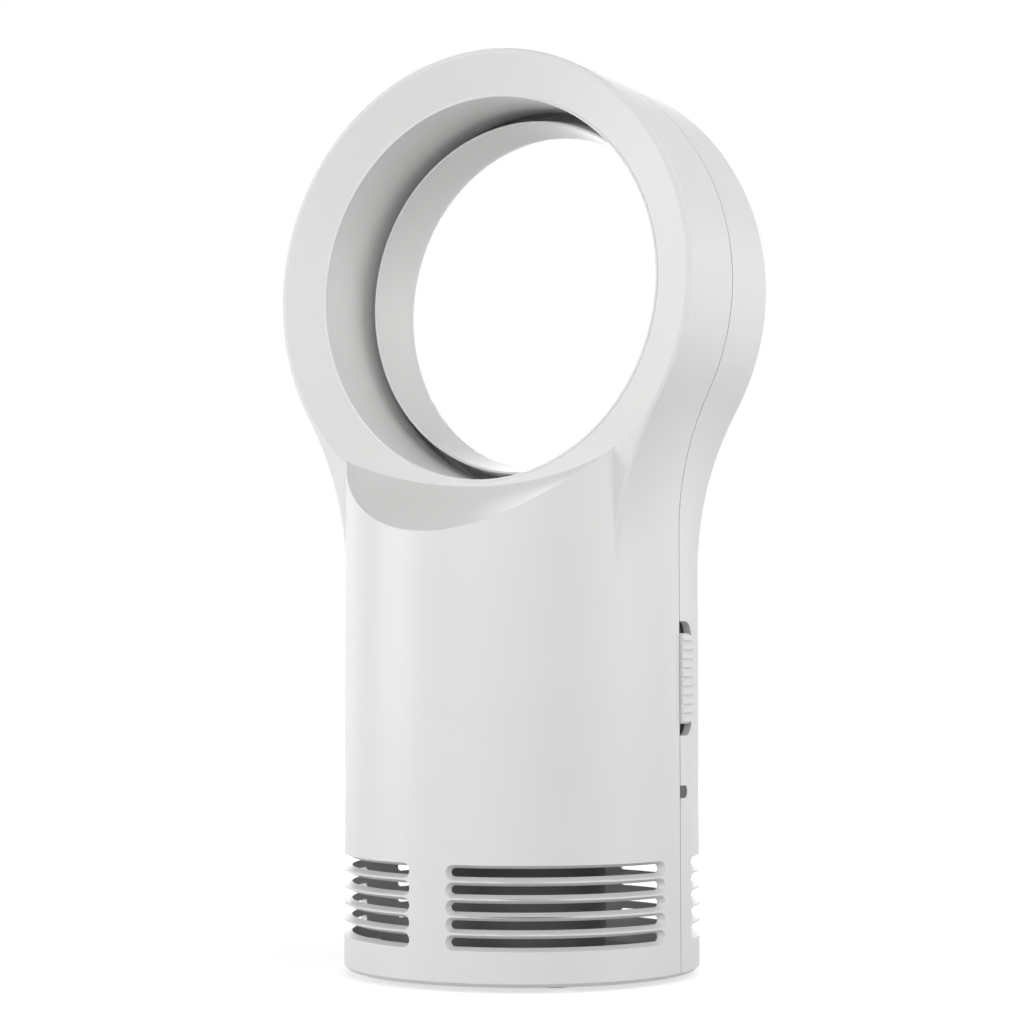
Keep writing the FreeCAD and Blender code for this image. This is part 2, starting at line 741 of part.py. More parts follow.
def shells():
    """The two shells: outer form less the room, parted at y = 0, with their posts, ledges and cuts."""
    outer = outer_form()
    funnel, liner = ring_walls()
    hollow = cut("hollow", outer, cut("room_with_walls", cavity(), funnel, liner))
    skin = fuse("skin", hollow, ledge("fan_ledge", "flange_height"), ledge("tray_ledge", "tray_height"))
    parting = (0, 1, 0)
    zone_span = ("0", "funnel_reach + ring_wall")
    zone_outer = f"{FUNNEL_RADIUS} + 2 * ring_wall"
    zone_inner = f"({LINER_RADIUS} + ring_wall + {FUNNEL_RADIUS}) / 2"
    zone = cut("funnel_zone", rod("zone_outside", "Y", zone_outer, zone_span, z="ring_centre_height"),
               rod("zone_inside", "Y", zone_inner, zone_span, z="ring_centre_height"))
    right_slots = slot_tool()
    left_slots = mirror("left_slots", right_slots, Vector(1, 0, 0))
    front_slots = together("front_slots", right_slots, left_slots)
    back_slots = mirror("back_slots", front_slots, Vector(*parting))

    front_space = fuse("front_space", half_space("front_room", f"0 - {FAR}", "0"), zone)
    front_half = common("front_half", skin, front_space)
    front_rods = post_rods("front_post", "post_radius", ("0 - body_radius", "0"))
    front_posts = common("front_posts", outer, fuse("front_post_rods", *front_rods))
    boss_span = (BASE_TOP, BASE_BOSS_TOP)
    front_bosses = corner_rods("front_boss", "base_boss_radius", boss_span, BASE_BOSS_SIDE, ("-1",))
    pilot_span = ("0 - (shell_screw_length - post_floor + screw_clearance)", "0")
    front = cut("front_shell", fuse("front_solid", front_half, front_posts, *front_bosses), front_slots,
                *post_rods("front_pilot", PILOT, pilot_span),
                *corner_rods("front_boss_hole", SMALL_PILOT, boss_span, BASE_BOSS_SIDE, ("-1",)))

    back_half = cut("back_half", common("back_whole", skin, half_space("back_room", "0", FAR)), zone)
    back_posts = common("back_posts", outer, fuse(
        "back_post_rods", *post_rods("back_post", "post_radius", ("0", "body_radius")),
        rod("gland_pad_rod", "Y", "gland_pad_radius", (GLAND_BACK, "body_radius"), z="gland_height"),
        *board_rods("board_boss", "board_boss_radius", (BOARD_FACE, "body_radius"))))
    back_bosses = corner_rods("back_boss", "base_boss_radius", boss_span, BASE_BOSS_SIDE, ("1",))
    groove_core = sweep_straight("groove_core", head_section("groove_line", "0", "parting_groove_depth", "0"),
                                 Vector(0, 1, 0), "parting_groove_width")
    groove = cut("parting_groove", half_space("groove_slab", "0", "parting_groove_width"), groove_core)
    board_pilot_span = (BOARD_FACE, f"{BOARD_FACE} + board_screw_length")
    head_room = "screw_head_radius + seat_clearance"
    gland_room = "gland_flange_radius + fit_clearance"
    neck_room = "gland_neck_radius + fit_clearance"
    switch_notch = side_notch("switch_notch", "switch_height", "switch_notch_length", "0 - wall",
                              "switch_notch_width", "switch_notch_round")
    back = cut("rear_shell", fuse("back_solid", back_half, back_posts, *back_bosses), back_slots, groove,
               switch_notch, lamp_plug("lamp_notch", "0"),
               *post_rods("back_hole", PILOT, ("0", "post_floor")),
               *post_rods("back_counterbore", head_room, ("post_floor", FAR), sides=None),
               *corner_rods("back_boss_hole", SMALL_PILOT, boss_span, BASE_BOSS_SIDE, ("1",)),
               rod("gland_recess", "Y", gland_room, (GLAND_SEAT, FAR), z="gland_height"),
               rod("gland_hole", "Y", neck_room, (DUCT_RADIUS, FAR), z="gland_height"),
               *board_rods("board_pilot", SMALL_PILOT, board_pilot_span))
    return front, back


def screw(name, axis, way, radius, head_radius, head_height, length, seat, **place):
    """Plain screw: a round head on its seat and a shank that runs from the seat in the direction way."""
    if way > 0:
        head = (f"{seat} - {head_height}", seat)
        shank = (seat, f"{seat} + {length}")
    else:
        head = (seat, f"{seat} + {head_height}")
        shank = (f"{seat} - {length}", seat)
    return fuse(name, rod(name + "_head", axis, head_radius, head, sides=SCREW_SIDES, **place),
                rod(name + "_shank", axis, radius, shank, sides=SCREW_SIDES, **place))


def small_screw(name, axis, way, length, seat, **place):
    return screw(name, axis, way, "small_screw_radius", "small_screw_head_radius", "small_screw_head_height",
                 length, seat, **place)


def base():
    """Base plate with its feet and screws."""
    disc = rod("base_disc", "Z", f"{CAVITY_RADIUS} - seat_clearance", ("foot_stand", BASE_TOP))
    sink = ("0", "foot_stand + foot_sink")
    head_room = "small_screw_head_radius + fit_clearance"
    foot_room = "foot_radius + fit_clearance"
    plate = cut("base_plate", disc,
                *corner_rods("foot_recess", foot_room, sink, FOOT_SIDE, sides=FOOT_SIDES),
                *corner_rods("base_screw_sink", head_room, ("0", BASE_SCREW_SEAT), BASE_BOSS_SIDE),
                *corner_rods("base_screw_hole", SMALL_PILOT, ("0", BASE_TOP), BASE_BOSS_SIDE))
    feet = together("rubber_feet", *corner_rods("foot", "foot_radius", sink, FOOT_SIDE, sides=FOOT_SIDES))
    screws = together("base_screws", *[
        small_screw(f"base_screw_{i}", "Z", 1, "base_screw_length", BASE_SCREW_SEAT,
                    x=f"{x} * {BASE_BOSS_SIDE}", y=f"{y} * {BASE_BOSS_SIDE}")
        for i, (x, y) in enumerate(CORNERS)])
    return plate, feet, screws


def shell_screws():
    return together("shell_screws", *[
        screw(f"shell_screw_{i}", "Y", -1, "screw_radius", "screw_head_radius", "screw_head_height",
              "shell_screw_length", "post_floor", x=x, z=z) for i, (x, z) in enumerate(POSTS)])


def intake_filter():
    """Foam sleeve between the base plate and the fan's deck, round the inlet, that all the air passes."""
    inside = "(inlet_radius + filter_gap)"
    span = (BASE_TOP, "flange_height")
    return cut("intake_filter",
               rod("filter_outside", "Z", f"{inside} + filter_wall", span, sides=FILTER_SIDES),
               rod("filter_inside", "Z", inside, span, sides=FILTER_SIDES))


def fan_duct():
    """Round deck with a chamfered inlet and the tube round the fan, stepped to seat the motor mount."""
    body = new_body("fan_duct")
    deck = "(flange_height + flange_thickness)"
    throat = f"({DUCT_BORE} - duct_step)"
    corners = [
        ("inlet_radius", "flange_height"),
        (f"{CAVITY_RADIUS} - deck_clearance", "flange_height"),
        (f"{CAVITY_RADIUS} - deck_clearance", deck),
        (DUCT_RADIUS, deck),
        (DUCT_RADIUS, "duct_top"),
        (DUCT_BORE, "duct_top"),
        (DUCT_BORE, "mount_height"),
        (throat, "mount_height"),
        (throat, f"{deck} + duct_wall"),
        ("inlet_radius + inlet_lip", f"{deck} + duct_wall"),
        ("inlet_radius", f"{deck} + duct_wall - inlet_lip"),
    ]
    sketch = body_sketch(body, "duct_profile", "XZ", corners)
    revolve_in_body(body, "duct_turn", sketch)
    return body


MOTOR_SCREWS = ("motor_screw_spacing", "0 - motor_screw_spacing")


def motor_mount():
    """Cup for the motor, held in the duct by guide vanes and an outer ring."""
    body = new_body("motor_mount_blank")
    cup = "(motor_radius + fit_clearance)"
    ring = f"({DUCT_BORE} - fit_clearance)"
    top = "(mount_height + mount_depth)"
    floor = "(mount_height - mount_floor)"
    hole = "(motor_boss_radius + fit_clearance)"
    cup_corners = [(hole, floor), (f"{cup} + mount_wall", floor), (f"{cup} + mount_wall", top), (cup, top),
                   (cup, "mount_height"), (hole, "mount_height")]
    revolve_in_body(body, "cup", body_sketch(body, "cup_profile", "XZ", cup_corners))
    half = "(mount_vane_thickness / 2)"
    vane_corners = rectangle((f"{cup} + mount_wall / 2", f"{ring} - mount_wall / 2"), (f"0 - {half}", half))
    vane = pad_in_body(body, "vane", body_sketch(body, "vane_plan", "XY", vane_corners, lift="mount_height"),
                       "mount_depth")
    polar_in_body(body, "vanes", [vane], "mount_vanes")
    ring_corners = rectangle((f"{ring} - mount_wall", ring), ("mount_height", top))
    revolve_in_body(body, "rim", body_sketch(body, "rim_profile", "XZ", ring_corners))
    holes = [rod(f"mount_hole_{i}", "Z", SMALL_PILOT, (floor, "mount_height"), y=y, sides=SCREW_SIDES)
             for i, y in enumerate(MOTOR_SCREWS)]
    return cut("motor_mount", body, *holes)


def motor():
    """Motor can with its front boss and bore, end cap, terminals, shaft and the screws that hold it."""
    floor = "(mount_height - mount_floor)"
    bore_top = "(mount_height + shaft_grip)"
    hole_span = (floor, "mount_height + motor_screw_length")
    holes = [rod(f"motor_hole_{i}", "Z", SMALL_PILOT, hole_span, y=y, sides=SCREW_SIDES)
             for i, y in enumerate(MOTOR_SCREWS)]
    blank = fuse("can_blank", rod("can", "Z", "motor_radius", ("mount_height", MOTOR_TOP)),
                 rod("can_boss", "Z", "motor_boss_radius", (floor, "mount_height")))
    bore = rod("can_bore", "Z", "shaft_radius + screw_clearance", (floor, f"{bore_top} + fit_clearance"))
    can = cut("motor_can", blank, bore, *holes)
    cap_top = f"({MOTOR_TOP} + motor_cap_thickness)"
    cap = rod("motor_cap", "Z", "motor_radius - mount_wall", (MOTOR_TOP, cap_top))
    tabs = together("motor_tabs", *[
        block(f"motor_tab_{i}", (f"{x} - tab_thickness / 2", f"{x} + tab_thickness / 2"),
              ("0 - tab_width / 4", "tab_width / 4"), (cap_top, f"{cap_top} + tab_length / 2"))
        for i, x in enumerate(MOTOR_SCREWS)])
    shaft = rod("motor_shaft", "Z", "shaft_radius", (FAN_BOTTOM, bore_top))
    screws = together("motor_screws", *[
        small_screw(f"motor_screw_{i}", "Z", 1, "motor_screw_length", floor, y=y)
        for i, y in enumerate(MOTOR_SCREWS)])
    return can, cap, tabs, shaft, screws


def impeller():
    """Mixed-flow fan: a conical hub with leaning, cambered blades."""
    body = new_body("impeller")
    bore = "(shaft_radius + screw_clearance)"
    hub = [(bore, FAN_BOTTOM), ("fan_hub_low_radius", FAN_BOTTOM),
           ("fan_hub_high_radius", f"{FAN_TOP} - mount_floor"), ("fan_hub_high_radius", FAN_TOP),
           (bore, FAN_TOP)]
    revolve_in_body(body, "hub", body_sketch(body, "hub_profile", "XZ", hub))
    start = "(shaft_radius + fan_blade_thickness)"
    tip = f"sqrt({FAN_RADIUS}^2 - (fan_blade_lean + fan_blade_thickness)^2)"
    low = f"({FAN_BOTTOM} + fan_blade_thickness)"
    high = f"({FAN_TOP} - mount_floor - fan_blade_thickness)"
    corners = [("0 - fan_blade_lean - fan_blade_thickness", low), ("0 - fan_blade_lean", low),
               ("fan_blade_lean", high), ("fan_blade_lean - fan_blade_thickness", high)]
    arcs = {1: ("fan_camber_radius", 1), 3: ("fan_camber_radius", -1)}
    section = body_sketch(body, "blade_section", "YZ", corners, arcs, lift=start)
    blade = pad_in_body(body, "blade", section, f"{tip} - {start}")
    polar_in_body(body, "blades", [blade], "fan_blades")
    return body


def heater():
    """Heater deck and the stack of fins and heating bars that stands in its collar."""
    half_length = f"({HEATER_LENGTH} / 2)"
    half_width = f"({HEATER_WIDTH} / 2)"

    def frame(name, spread, span):
        return block(name, (f"0 - {half_length} - ({spread})", f"{half_length} + {spread}"),
                     (f"0 - {half_width} - ({spread})", f"{half_width} + {spread}"), span)

    deck = rod("tray_disc", "Z", f"{CAVITY_RADIUS} - tray_clearance", ("tray_height", TRAY_TOP))
    collar = frame("collar", "heater_seat + collar_wall", (TRAY_TOP, HEATER_TOP))
    tray = cut("heater_tray", fuse("tray_blank", deck, collar),
               frame("collar_inside", "heater_seat", (TRAY_TOP, HEATER_TOP)),
               frame("tray_opening", "0 - heater_lap", ("tray_height", TRAY_TOP)))
    retainer_span = (HEATER_TOP, f"{HEATER_TOP} + retainer_thickness")
    retainer = cut("heater_retainer",
                   frame("retainer_outside", "heater_seat + collar_wall", retainer_span),
                   frame("retainer_inside", "0 - heater_lap", retainer_span))

    along = (f"0 - {half_length}", half_length)
    upright = (TRAY_TOP, HEATER_TOP)
    fin_step = "(heater_fin_width + heater_bar)"
    first_fin = f"(heater_side_bar - {half_width})"
    side_bars = together("heater_side_bars", *[
        block(f"side_bar_{i}", along, (low, f"{low} + heater_side_bar"), upright)
        for i, low in enumerate((f"0 - {half_width}", f"{half_width} - heater_side_bar"))])
    bar_starts = [f"({first_fin} + heater_fin_width + {i} * {fin_step})" for i in range(HEATING_BARS)]
    bars = together("ptc_bars", *[
        block(f"ptc_bar_{i}", along, (low, f"{low} + heater_bar"), upright)
        for i, low in enumerate(bar_starts)])
    fins = together("heater_fins", *[
        fin_pack(f"fin_pack_{i}", f"{first_fin} + {i} * {fin_step}") for i in range(FIN_PACKS)])
    tab_place = f"({half_length} - tab_inset)"
    tabs = together("heater_tabs", *[
        block(f"heater_tab_{i}", (f"{tab_place} - tab_width / 2", f"{tab_place} + tab_width / 2"),
              (f"{low} + (heater_bar - tab_thickness) / 2", f"{low} + (heater_bar + tab_thickness) / 2"),
              (HEATER_TOP, f"{HEATER_TOP} + tab_length")) for i, low in enumerate(bar_starts)])
    thermostat_place = f"({half_width} + heater_seat + collar_wall + thermostat_gap + thermostat_radius)"
    thermostat = rod("thermostat", "Z", "thermostat_radius", (TRAY_TOP, f"{TRAY_TOP} + thermostat_height"),
                     y=f"0 - {thermostat_place}")
    fuse_link = rod("thermal_fuse", "X", "fuse_radius", ("0 - fuse_length / 2", "fuse_length / 2"),
                    y="fuse_place", z=f"{TRAY_TOP} + fuse_radius")
    return tray, retainer, side_bars, bars, fins, tabs, thermostat, fuse_link


def fin_pack(name, y):
    """Corrugated sheet: flat crests lie on the bars at both sides, air passes upwards between the folds."""
    pitch = number(f"{HEATER_LENGTH} / fin_folds")
    sheet_thickness = number("fin_sheet")
    width = number("heater_fin_width")
    crest = pitch / 4
    start = -number(HEATER_LENGTH) / 2
    low_side = []
    high_side = []
    for fold in range(int(number("fin_folds"))):
        left = start + fold * pitch
        trough = [left + crest / 2, left + pitch / 2 - crest / 2]
        peak = [left + pitch / 2 + crest / 2, left + pitch - crest / 2]
        low_side += [Vector(trough[0], 0, 0), Vector(trough[1], 0, 0)]
        low_side += [Vector(peak[0], width - sheet_thickness, 0), Vector(peak[1], width - sheet_thickness, 0)]
        high_side += [Vector(trough[0] + sheet_thickness, sheet_thickness, 0)]
        high_side += [Vector(trough[1] - sheet_thickness, sheet_thickness, 0)]
        high_side += [Vector(peak[0] - sheet_thickness, width, 0)]
        high_side += [Vector(peak[1] + sheet_thickness, width, 0)]
    ring = low_side + high_side[::-1]
    face = Part.Face(Part.makePolygon(ring + ring[:1]))
    pack = doc.addObject("Part::Feature", name)
    pack.Shape = face.extrude(Vector(0, 0, number("heater_height")))
    pack.Placement = Placement(Vector(0, 0, 0), Rotation())
    return move(pack, y=y, z=TRAY_TOP)


def controls():
    """Control board with the slide switch, its knob in the side notch, and the indicator."""
    board_y = ("board_edge", "board_edge + board_width")
    blank = block("board_blank", (BOARD_BACK, BOARD_FACE), board_y, ("board_bottom", "board_top"))
    board = cut("control_board", blank,
                *board_rods("board_hole", SMALL_PILOT, (BOARD_BACK, BOARD_FACE)))
    screws = together("board_screws", *[
        small_screw(f"board_screw_{i}", "X", 1, "board_screw_length", BOARD_BACK, y=y, z=z)
        for i, (y, z) in enumerate(BOARD_BOSSES)])
    face = f"({BOARD_FACE} + switch_depth)"
    run = "(stem_length / 2 + switch_travel + seat_clearance)"
    slot_half = "(stem_width / 2 + seat_clearance)"
    switch = cut("slide_switch",
                 block("switch_blank", (BOARD_FACE, face),
                       (f"{KNOB_MIDDLE} - switch_width / 2", f"{KNOB_MIDDLE} + switch_width / 2"),
                       ("switch_height - switch_length / 2", "switch_height + switch_length / 2")),
                 block("switch_slot", (f"{face} - stem_depth - seat_clearance", face),
                       (f"{KNOB_MIDDLE} - {slot_half}", f"{KNOB_MIDDLE} + {slot_half}"),
                       (f"switch_height - {run}", f"switch_height + {run}")))
    stem_end = f"sqrt({SHUTTER_INNER}^2 - ({KNOB_MIDDLE} + stem_width / 2)^2)"
    stem = block("switch_stem", (f"{face} - stem_depth", stem_end),
                 (f"{KNOB_MIDDLE} - stem_width / 2", f"{KNOB_MIDDLE} + stem_width / 2"),
                 ("switch_height - stem_length / 2", "switch_height + stem_length / 2"))
    lamp_y = "(lamp_notch_width / 2)"
    lens_back = SHUTTER_INNER
    lamp = rod("indicator_led", "X", "lamp_radius", (BOARD_FACE, f"{lens_back} - fit_clearance"), y=lamp_y,
               z="lamp_height")
    lens_face = "(sqrt(body_radius^2 - lamp_notch_width^2) - fit_clearance)"
    lens = common("indicator_lens", lamp_plug("lens_plug", "fit_clearance"),
                  block("lens_depth", (lens_back, lens_face), ("0", "body_radius"), ("0", "body_radius * 2")))
    return board, screws, switch, stem, *slider_knob(), lamp, lens


def slider_knob():
    """Ribbed knob that follows the column's curve, and the shutter that slides behind the shell with it."""
    bottom = "(switch_height - knob_length / 2)"
    crest = "(body_radius + knob_proud)"
    valley = f"({crest} - knob_rib_depth)"
    pitch = "(knob_length / knob_ribs)"
    corners = []
    for rib in range(int(number("knob_ribs"))):
        foot = f"{bottom} + {rib} * {pitch}"
        corners += [(valley, foot), (crest, f"{foot} + {pitch} / 4"), (crest, f"{foot} + 3 * {pitch} / 4")]
    top = f"{bottom} + knob_length"
    corners += [(valley, top), (SHUTTER_OUTER, top), (SHUTTER_OUTER, bottom)]
    sweep = f"2 * asin((knob_gap + knob_width) / {SHUTTER_OUTER})"
    profile = drawing("knob_profile", "XZ", corners)
    ribbed = spin("knob_ribs_turned", profile, Vector(0, 0, 1), angle=sweep)
    plan = side_notch("knob_outline", "switch_height", "knob_length", "knob_gap", "knob_gap + knob_width",
                      KNOB_ROUND)
    knob = common("slider_knob", ribbed, plan)
    half = "(switch_notch_length / 2 + shutter_lap)"
    span = (f"switch_height - {half}", f"switch_height + {half}")
    shutter = common("switch_shutter",
                     cut("shutter_ring", rod("shutter_outside", "Z", SHUTTER_OUTER, span),
                         rod("shutter_inside", "Z", SHUTTER_INNER, span)),
                     block("shutter_width", ("0", "body_radius"),
                           ("0 - shutter_lap", "switch_notch_width + shutter_lap"), span))
    return knob, shutter


def gland_bore():
    """Oval hole for a flat two-core cord."""
    end = "(gland_bore_height / 2)"
    half = "(gland_bore_width / 2)"
    side = f"({half} - {end})"
    low = f"gland_height - {end}"
    high = f"gland_height + {end}"
    corners = [(f"0 - {side}", low), (side, low), (half, "gland_height"), (side, high), (f"0 - {side}", high),
               (f"0 - {half}", "gland_height")]
    arcs = {side_index: (end, 1) for side_index in (1, 2, 4, 5)}
    sketch = drawing("gland_bore_profile", "XZ", corners, arcs, y=DUCT_RADIUS)
    return sweep_straight("gland_bore", sketch, Vector(0, 1, 0), "body_radius")


def mains_entry():
    """Gland in the rear shell and the terminal block behind it."""
    collar = (f"{GLAND_BACK} - gland_collar", GLAND_BACK)
    flange = (GLAND_SEAT, "body_radius - gland_sink")
    gland = cut("cord_gland", fuse(
        "gland_blank",
        rod("gland_flange", "Y", "gland_flange_radius", flange, z="gland_height"),
        rod("gland_neck", "Y", "gland_neck_radius", (GLAND_BACK, GLAND_SEAT), z="gland_height"),
        rod("gland_collar", "Y", "gland_flange_radius", collar, z="gland_height")),
        gland_bore())
    deck = "(flange_height + flange_thickness)"
    terminal_back = f"{GLAND_BACK} - gland_collar - terminal_gap"
    terminals = block("terminal_block", ("0 - terminal_length / 2", "terminal_length / 2"),
                      (f"{terminal_back} - terminal_width", terminal_back),
                      (deck, f"{deck} + terminal_height"))
    return gland, terminals


nodes = [*shells(), *base(), shell_screws(), intake_filter(), fan_duct(), motor_mount(), *motor(),
         impeller(), *heater(), *controls(), *mains_entry()]
doc.recompute()

failed = [thing.Name for thing in doc.Objects if "Invalid" in thing.State or "Error" in thing.State]
if failed:
    raise RuntimeError("failed features: " + ", ".join(failed))
for node in nodes:
    if node.Shape.isNull() or not node.Shape.isValid() or not node.Shape.Solids:
        raise RuntimeError("bad shape: " + node.Label)

os.makedirs("parts", exist_ok=True)
for node in nodes:
    node.Shape.exportStep(f"parts/{node.Label}.step")
    print(node.Label, len(node.Shape.Solids), "solids", round(node.Shape.Volume), "mm3")
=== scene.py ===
# %% [markdown]
# # A bladeless desk heater
#
# A round column draws air in through low slots, a fan and a heater stand inside it, and the warm air
# leaves through the slit of an upright ring. The solids come from the CAD model, already in place and
# at real size. This lesson adds the camera, the light, a finish for every piece, four thin lips along
# moulded edges and a foam sleeve. All lengths are metres.

# %% Load the frame
import json
import math

import bpy
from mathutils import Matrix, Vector, noise


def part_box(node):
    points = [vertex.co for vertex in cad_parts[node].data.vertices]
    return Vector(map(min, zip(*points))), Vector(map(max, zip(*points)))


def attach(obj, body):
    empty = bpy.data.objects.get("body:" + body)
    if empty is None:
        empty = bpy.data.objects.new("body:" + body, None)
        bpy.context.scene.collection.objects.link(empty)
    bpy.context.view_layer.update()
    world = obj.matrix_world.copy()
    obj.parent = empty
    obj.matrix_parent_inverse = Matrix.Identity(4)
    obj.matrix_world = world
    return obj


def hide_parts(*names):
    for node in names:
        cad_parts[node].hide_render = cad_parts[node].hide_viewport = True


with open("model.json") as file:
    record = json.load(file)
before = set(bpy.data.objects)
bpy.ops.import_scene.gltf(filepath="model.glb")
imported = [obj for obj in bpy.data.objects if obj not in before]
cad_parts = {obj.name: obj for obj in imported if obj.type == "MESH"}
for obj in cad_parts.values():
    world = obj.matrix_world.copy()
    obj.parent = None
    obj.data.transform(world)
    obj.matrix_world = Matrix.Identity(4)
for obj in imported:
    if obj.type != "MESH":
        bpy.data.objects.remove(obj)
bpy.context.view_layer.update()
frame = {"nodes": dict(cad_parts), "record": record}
nodes = frame["nodes"]
scene = bpy.context.scene
MM = 0.001

# %% [markdown]
# ## Camera
#
# The heater is seen from its right front through a long lens, so upright edges stay nearly parallel. A
# camera can be placed by eye, but then the ring and the column are seldom right together. This one was
# fitted to the outlines of both: it stands low and looks slightly up at the ring.

# %% Camera
CAMERA_PLACE = Vector((0.3535, -0.6035, 0.0846))
CAMERA_AZIMUTH = math.radians(30.807)
CAMERA_PITCH = math.radians(3.684)
FOCAL_LENGTH_MM = 86.35
SENSOR_WIDTH_MM = 36.0
FRAME_SHIFT = 0.0093

camera_data = bpy.data.cameras.new("photo_camera")
camera_data.lens = FOCAL_LENGTH_MM
camera_data.sensor_width = SENSOR_WIDTH_MM
camera_data.shift_x = FRAME_SHIFT
camera = bpy.data.objects.new("photo_camera", camera_data)
camera.location = CAMERA_PLACE
camera.rotation_euler = (math.pi / 2 + CAMERA_PITCH, 0, CAMERA_AZIMUTH)
scene.collection.objects.link(camera)
scene.camera = camera
print("camera stands", round(CAMERA_PLACE.length, 3), "m from the heater's foot")

# %% [markdown]
# ## Colours and nodes
#
# A colour picker shows sRGB values and a renderer works with linear ones. Colours are written here as
# sRGB hex and one function turns them, so that a finish can be compared with what a picker shows.
# Shader nodes could be linked by hand in the editor. One small function that adds a node with its
# values and links keeps each finish to a few lines that read from top to bottom.

# %% Colour and node helpers
def linear(hex_colour):
    """Linear RGBA of an sRGB hex colour such as "e8e8e6", by the curve of the sRGB standard."""
    channels = [int(hex_colour[place:place + 2], 16) / 255 for place in (0, 2, 4)]
    return tuple(c / 12.92 if c <= 0.04045 else ((c + 0.055) / 1.055) ** 2.4 for c in channels) + (1.0,)


def add(tree, kind, inputs=None, **settings):
    """Add a shader node; an input is a value, or a socket to link from."""
    made = tree.nodes.new("ShaderNode" + kind)
    for name, value in settings.items():
        setattr(made, name, value)
    for name, value in (inputs or {}).items():
        if isinstance(value, bpy.types.NodeSocket):
            tree.links.new(value, made.inputs[name])
        else:
            made.inputs[name].default_value = value
    return made


def new_material(name):
    """Empty node material; returns it with its tree and its output node."""
    material = bpy.data.materials.new(name)
    material.use_nodes = True
    material.node_tree.nodes.clear()
    return material, material.node_tree, add(material.node_tree, "OutputMaterial")


print("the grey bababa in linear light", [round(c, 3) for c in linear("bababa")])

# %% [markdown]
# ## White surroundings
#
# Such a heater is shown in a studio where everything round it is white. Strong lamps could make it
# white, but they would wash out the pale shell. Light Path tells the rays that look from the rays that
# carry light. A ray from the camera or from a reflection sees white, and as a light the world stays
# dim.

# %% World
WORLD_LIGHT = 0.10
WHITE = (1, 1, 1, 1)


def seen_directly(tree):
    """1 where a camera, glossy or transmission ray looks, 0 for the light itself."""
    path = add(tree, "LightPath")
    glossy = add(tree, "Math", {0: path.outputs["Is Camera Ray"], 1: path.outputs["Is Glossy Ray"]},
                 operation="MAXIMUM")
    both = add(tree, "Math", {0: glossy.outputs[0], 1: path.outputs["Is Transmission Ray"]},
               operation="MAXIMUM")
    return both.outputs[0]


world = bpy.data.worlds.new("studio_white")
world.use_nodes = True
tree = world.node_tree
tree.nodes.clear()
level = add(tree, "MapRange", {"Value": seen_directly(tree), "To Min": WORLD_LIGHT, "To Max": 1.0})
background = add(tree, "Background", {"Color": WHITE, "Strength": level.outputs[0]})
tree.links.new(background.outputs[0], add(tree, "OutputWorld").inputs["Surface"])
scene.world = world
scene.view_settings.view_transform = "Standard"
print("the world lights with", WORLD_LIGHT, "of the white that is seen")

# %% [markdown]
# ## Floor
#
# The heater stands on a sweep of matte paint, pale enough to throw light up into the ring. Plain paint
# would turn grey towards the back, where less light falls. So the floor adds a glow that only looking
# rays see, a little near the base and more with distance. It fades into the white behind and keeps the
# soft shadow.

# %% Floor paint
FLOOR_HALF = 4.0
FLOOR_COLOUR = "c4c4c4"
FLOOR_GLOW_NEAR = 0.66
FLOOR_GLOW_FAR = 1.0
GLOW_START = 0.10
GLOW_END = 0.60
RIPPLE_WIDTH = 200 * MM
RIPPLE_HEIGHT = 1 * MM
RIPPLE_STRENGTH = 0.02
RIPPLE_DETAIL = 4.0

# Rolled matte paint: an even pale grey without a highlight, with ripples that are barely seen.
floor_material, tree, output = new_material("painted_sweep")
ripples = add(tree, "TexNoise", {"Scale": 2 * FLOOR_HALF / RIPPLE_WIDTH, "Detail": RIPPLE_DETAIL})
bump = add(tree, "Bump", {"Height": ripples.outputs["Fac"], "Strength": RIPPLE_STRENGTH,
                          "Distance": RIPPLE_HEIGHT})
paint = add(tree, "BsdfDiffuse", {"Color": linear(FLOOR_COLOUR), "Normal": bump.outputs["Normal"]})
from_heater = add(tree, "VectorMath", {0: add(tree, "TexCoord").outputs["Object"]}, operation="LENGTH")
fade = add(tree, "MapRange", {"Value": from_heater.outputs["Value"], "From Min": GLOW_START,
                              "From Max": GLOW_END, "To Min": FLOOR_GLOW_NEAR, "To Max": FLOOR_GLOW_FAR},
           interpolation_type="SMOOTHSTEP")
glow_level = add(tree, "Math", {0: seen_directly(tree), 1: fade.outputs[0]}, operation="MULTIPLY")
glow = add(tree, "Emission", {"Color": WHITE, "Strength": glow_level.outputs[0]})
both = add(tree, "AddShader", {0: paint.outputs[0], 1: glow.outputs[0]})
tree.links.new(both.outputs[0], output.inputs["Surface"])
print("floor paint", FLOOR_COLOUR, "with a glow from", GLOW_START, "to", GLOW_END, "m")

# %% Floor sheet
floor_mesh = bpy.data.meshes.new("floor")
corners = [(x * FLOOR_HALF, y * FLOOR_HALF, 0) for x, y in ((-1, -1), (1, -1), (1, 1), (-1, 1))]
floor_mesh.from_pydata(corners, [], [(0, 1, 2, 3)])
floor = bpy.data.objects.new("floor", floor_mesh)
floor_mesh.materials.append(floor_material)
scene.collection.objects.link(floor)
print("floor", FLOOR_HALF * 2, "m across")

# %% [markdown]
# ## Lamps
#
# Large soft boxes give a satin shell its broad, even sheen. A sky picture could do that too, but it
# would need a file. Each box is placed as a photographer would note it: degrees round the heater from
# the front towards its right side, degrees above the table, and power in watts. The left front carries
# the picture, with fill from the front and the right. Those behind shine through the ring, so that the
# rim of the throat shades the slit beside it, and they keep the back of the shell white too. Little
# comes from above, because the pale floor throws light up into the ring.

